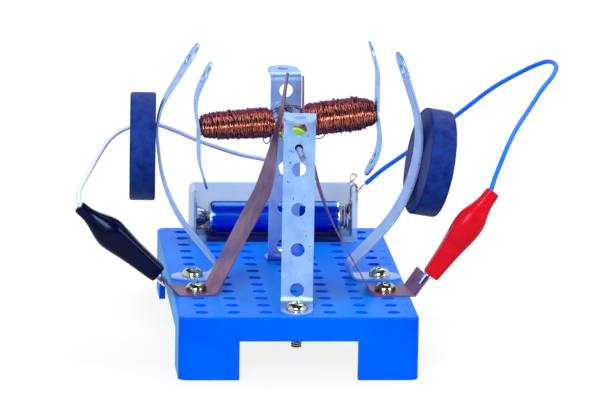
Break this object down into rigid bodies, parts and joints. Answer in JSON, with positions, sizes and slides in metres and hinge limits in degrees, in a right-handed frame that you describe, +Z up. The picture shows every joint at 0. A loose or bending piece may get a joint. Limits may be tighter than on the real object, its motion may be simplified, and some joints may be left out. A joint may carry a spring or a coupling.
{
  "type": "demonstration electric motor",
  "caption": "Demonstration electric motor with a wound rotor between disc magnets on a pierced base, copper brushes, cell holder and booted clip leads",
  "frame": {"origin": "on the floor under the centre of the base", "axes": "+Z up, +Y along the shaft towards the cell holder, +X to the right seen from the free end of the shaft"},
  "size_m": [0.1577, 0.1365, 0.0964],
  "materials": {
    "base_plastic": "satin moulded plastic",
    "strip_steel": "bright zinc plated steel",
    "ferrite": "dark ferrite with a dull sheen",
    "brush_copper": "thin springy copper sheet, a little dulled",
    "shaft_steel": "ground steel",
    "drum_plastic": "light green insulating plastic",
    "segment_copper": "bare copper",
    "coil_copper": "enamelled copper wire",
    "screw_zinc": "yellow zinc plating",
    "holder_plastic": "translucent plastic",
    "cell_sleeve": "glossy printed sleeve",
    "contact_nickel": "nickel plate",
    "black_vinyl": "glossy soft vinyl",
    "red_vinyl": "soft vinyl",
    "clip_steel": "nickel plated steel",
    "blue_insulation": "soft insulation",
    "white_insulation": "soft insulation"
  },
  "bodies": {
    "frame": {"base_plate": "base_plastic", "front_upright": "strip_steel", "rear_upright": "strip_steel", "left_pole_strip": "strip_steel", "right_pole_strip": "strip_steel", "left_magnet": "ferrite", "right_magnet": "ferrite", "left_brush": "brush_copper", "right_brush": "brush_copper", "machine_screws": "screw_zinc", "hex_nuts": "screw_zinc", "holder_screws": "screw_zinc", "holder_nuts": "screw_zinc", "cell_holder": "holder_plastic", "positive_contact": "contact_nickel", "negative_contact": "contact_nickel", "black_boot": "black_vinyl", "red_boot": "red_vinyl", "black_fixed_jaw": "clip_steel", "black_pivot_pin": "clip_steel", "black_jaw_spring": "clip_steel", "red_fixed_jaw": "clip_steel", "red_pivot_pin": "clip_steel", "red_jaw_spring": "clip_steel", "blue_lead": "blue_insulation", "white_lead": "white_insulation"},
    "rotor": {"shaft": "shaft_steel", "shaft_collars": "shaft_steel", "commutator_core": "drum_plastic", "upper_segment": "segment_copper", "lower_segment": "segment_copper", "upper_core_strip": "strip_steel", "lower_core_strip": "strip_steel", "left_winding": "coil_copper", "right_winding": "coil_copper", "coil_leads": "coil_copper"},
    "black_jaw": {"black_moving_jaw": "clip_steel"},
    "red_jaw": {"red_moving_jaw": "clip_steel"},
    "cell": {"cell": "cell_sleeve", "cell_cap": "contact_nickel"}
  },
  "joints": [
    {"name": "rotor_spin", "type": "hinge", "parent": "frame", "child": "rotor", "pos_m": [0, -0.006, 0.0706], "axis": [0, 1, 0], "continuous": true},
    {"name": "black_jaw_open", "type": "hinge", "parent": "frame", "child": "black_jaw", "pos_m": [-0.0512, -0.0303, 0.03354], "axis": [0, -1, 0], "range_deg": [0, 5], "stiffness_Nm_per_rad": 0.002, "springref_deg": -5.73},
    {"name": "red_jaw_open", "type": "hinge", "parent": "frame", "child": "red_jaw", "pos_m": [0.05084, -0.0349, 0.03602], "axis": [0, -1, 0], "range_deg": [0, 5], "stiffness_Nm_per_rad": 0.002, "springref_deg": -5.73},
    {"name": "cell_lift", "type": "slide", "parent": "frame", "child": "cell", "axis": [0, 0, 1], "range_m": [0, 0.012]}
  ]
}
